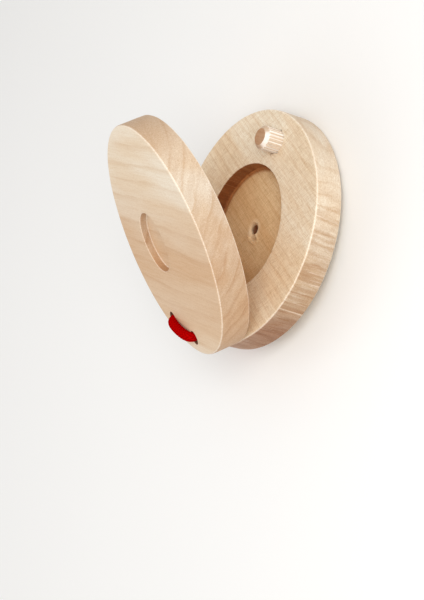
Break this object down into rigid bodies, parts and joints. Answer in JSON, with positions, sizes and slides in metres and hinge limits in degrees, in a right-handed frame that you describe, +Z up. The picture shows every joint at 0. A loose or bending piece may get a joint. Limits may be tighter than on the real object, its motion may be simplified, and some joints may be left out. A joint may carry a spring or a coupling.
{
  "type": "castanets",
  "caption": "Wooden hand castanets: hollowed round discs that rock open and shut on a ridge, held by a looped elastic cord, with a striking peg.",
  "frame": {"origin": "centre of the bounding box's base, on the table that the finger disc leans on with its far rim and the knot", "axes": "+X along the ridge that the discs rock on, +Y from the ridge towards the peg, +Z up; the thumb disc is the upper one"},
  "size_m": [0.06, 0.0624, 0.0464],
  "materials": {
    "finger_disc_wood": "sanded bare beech, satin",
    "thumb_disc_wood": "sanded bare maple or beech, satin",
    "peg_wood": "fluted birch dowel, bare",
    "elastic": "braided cover over an elastic core"
  },
  "bodies": {
    "finger_side": {"finger_disc": "finger_disc_wood", "striking_peg": "peg_wood", "elastic_finger_half": "elastic"},
    "thumb_side": {"thumb_disc": "thumb_disc_wood", "elastic_thumb_half": "elastic"}
  },
  "joints": [
    {"name": "ridge_rock", "type": "hinge", "parent": "finger_side", "child": "thumb_side", "pos_m": [0, -0.0211, 0.0127], "axis": [-1, 0, 0], "range_deg": [0, 30.2], "stiffness_Nm_per_rad": 0.012, "springref_deg": -45.84}
  ]
}
